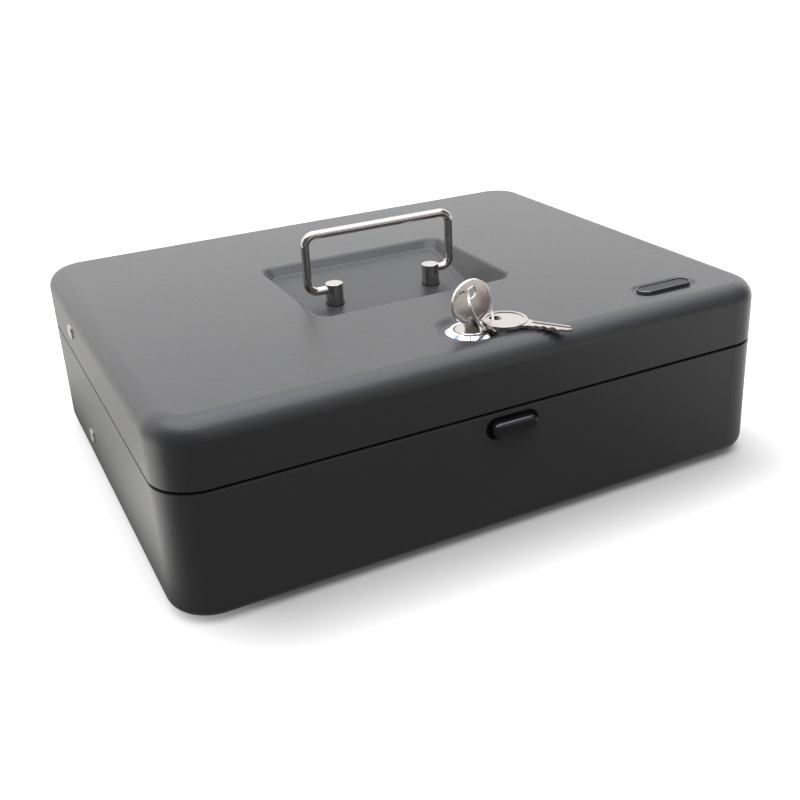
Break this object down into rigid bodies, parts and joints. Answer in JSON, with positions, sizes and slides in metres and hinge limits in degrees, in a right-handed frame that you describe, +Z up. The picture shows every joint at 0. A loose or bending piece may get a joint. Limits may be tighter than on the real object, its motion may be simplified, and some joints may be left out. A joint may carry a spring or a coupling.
{
  "type": "cash box",
  "caption": "Steel cash box with a hinged lid, folding carry handle, cam lock with keys, push-button latch and a coin tray that lifts level as the lid opens.",
  "frame": {"origin": "on the surface the feet stand on, below the centre of the closed box", "axes": "+X to the right along the front, +Y from the front to the back, +Z up"},
  "size_m": [0.3022, 0.244, 0.1184],
  "materials": {
    "powder_coat": "fine-textured matt powder coat, dark anthracite grey",
    "hinge_steel": "same powder coat, worn on the knuckles",
    "pin_steel": "drawn steel wire",
    "bright_nickel": "polished nickel plate",
    "dark_nickel": "satin turned nickel",
    "zinc_steel": "bright zinc plate",
    "zinc_die_cast": "die-cast zinc, threaded",
    "chrome": "mirror chrome",
    "spring_steel": "tempered spring strip",
    "key_nickel": "nickel-plated key blank, satin with polished rim",
    "ring_wire": "thin nickel-plated wire",
    "gloss_black": "glossy black moulding",
    "matte_black": "matt black moulding",
    "tray_plastic": "black moulded plastic, fine grain",
    "arm_steel": "zinc-plated steel strip",
    "rivet_nickel": "bright nickel-plated rivets",
    "badge_black": "black enamel with a thin bright rim, blank",
    "black_rubber": "black rubber"
  },
  "bodies": {
    "base": {"base_shell": "powder_coat", "hinge_leaf_base": "hinge_steel", "hinge_rod": "pin_steel", "button_bezel": "matte_black", "latch_spring": "spring_steel", "strike_plate": "zinc_steel", "base_rivets": "rivet_nickel", "base_spacers": "zinc_steel", "feet": "black_rubber"},
    "lid": {"lid_shell": "powder_coat", "hinge_leaf_lid": "hinge_steel", "handle_posts": "dark_nickel", "post_washers": "black_rubber", "post_screws": "zinc_steel", "lock_ring": "chrome", "lock_body": "zinc_die_cast", "lock_nut": "zinc_steel", "lid_catch": "zinc_steel", "lid_rivets": "rivet_nickel", "lid_spacers": "zinc_steel", "badge_plate": "badge_black"},
    "tray": {"coin_tray": "tray_plastic", "tray_bracket_left": "arm_steel", "tray_bracket_right": "arm_steel", "tray_bracket_rivets": "rivet_nickel", "arm_pins": "rivet_nickel"},
    "lift_arm_left": {"arm_left": "arm_steel"},
    "lift_arm_right": {"arm_right": "arm_steel"},
    "handle": {"handle_bail": "bright_nickel"},
    "lock_core": {"lock_plug": "dark_nickel", "lock_cam": "zinc_steel", "cam_clip": "spring_steel", "key_in_lock": "key_nickel"},
    "ring": {"key_ring": "ring_wire"},
    "loose_key": {"spare_key": "key_nickel"},
    "button": {"latch_button": "gloss_black"}
  },
  "joints": [
    {"name": "lid_hinge", "type": "hinge", "parent": "base", "child": "lid", "pos_m": [0, 0.1175, 0.0615], "axis": [-1, 0, 0], "range_deg": [0, 94]},
    {"name": "tray_pivot", "type": "hinge", "parent": "lid", "child": "tray", "pos_m": [0, 0.0468, 0.0746], "axis": [-1, 0, 0], "range_deg": [-94, 0]},
    {"name": "left_arm_pivot", "type": "hinge", "parent": "base", "child": "lift_arm_left", "pos_m": [-0.14615, 0.037, 0.0206], "axis": [-1, 0, 0], "range_deg": [0, 94]},
    {"name": "right_arm_pivot", "type": "hinge", "parent": "base", "child": "lift_arm_right", "pos_m": [0.14615, 0.037, 0.0206], "axis": [-1, 0, 0], "range_deg": [0, 94]},
    {"name": "handle_fold", "type": "hinge", "parent": "lid", "child": "handle", "pos_m": [0, -0.0025, 0.0873], "axis": [1, 0, 0], "range_deg": [-88, 102]},
    {"name": "key_turn", "type": "hinge", "parent": "lid", "child": "lock_core", "pos_m": [0, -0.0925, 0.08], "axis": [0, 0, -1], "range_deg": [0, 90]},
    {"name": "ring_swing", "type": "hinge", "parent": "lock_core", "child": "ring", "pos_m": [0.0003, -0.09247, 0.1063], "axis": [0.0872, -0.9962, 0], "range_deg": [0, 75]},
    {"name": "spare_key_swing", "type": "hinge", "parent": "ring", "child": "loose_key", "pos_m": [0.01173, -0.09371, 0.0915], "axis": [0, 0, 1], "range_deg": [-3, 15]},
    {"name": "button_press", "type": "slide", "parent": "base", "child": "button", "axis": [0, 1, 0], "range_m": [0, 0.0025], "stiffness_N_per_m": 600, "deforming": ["latch_spring"]}
  ],
  "couplings": [
    {"joint": "tray_pivot", "follows": "lid_hinge", "ratio": -1},
    {"joint": "left_arm_pivot", "follows": "lid_hinge", "ratio": 1},
    {"joint": "right_arm_pivot", "follows": "lid_hinge", "ratio": 1}
  ]
}
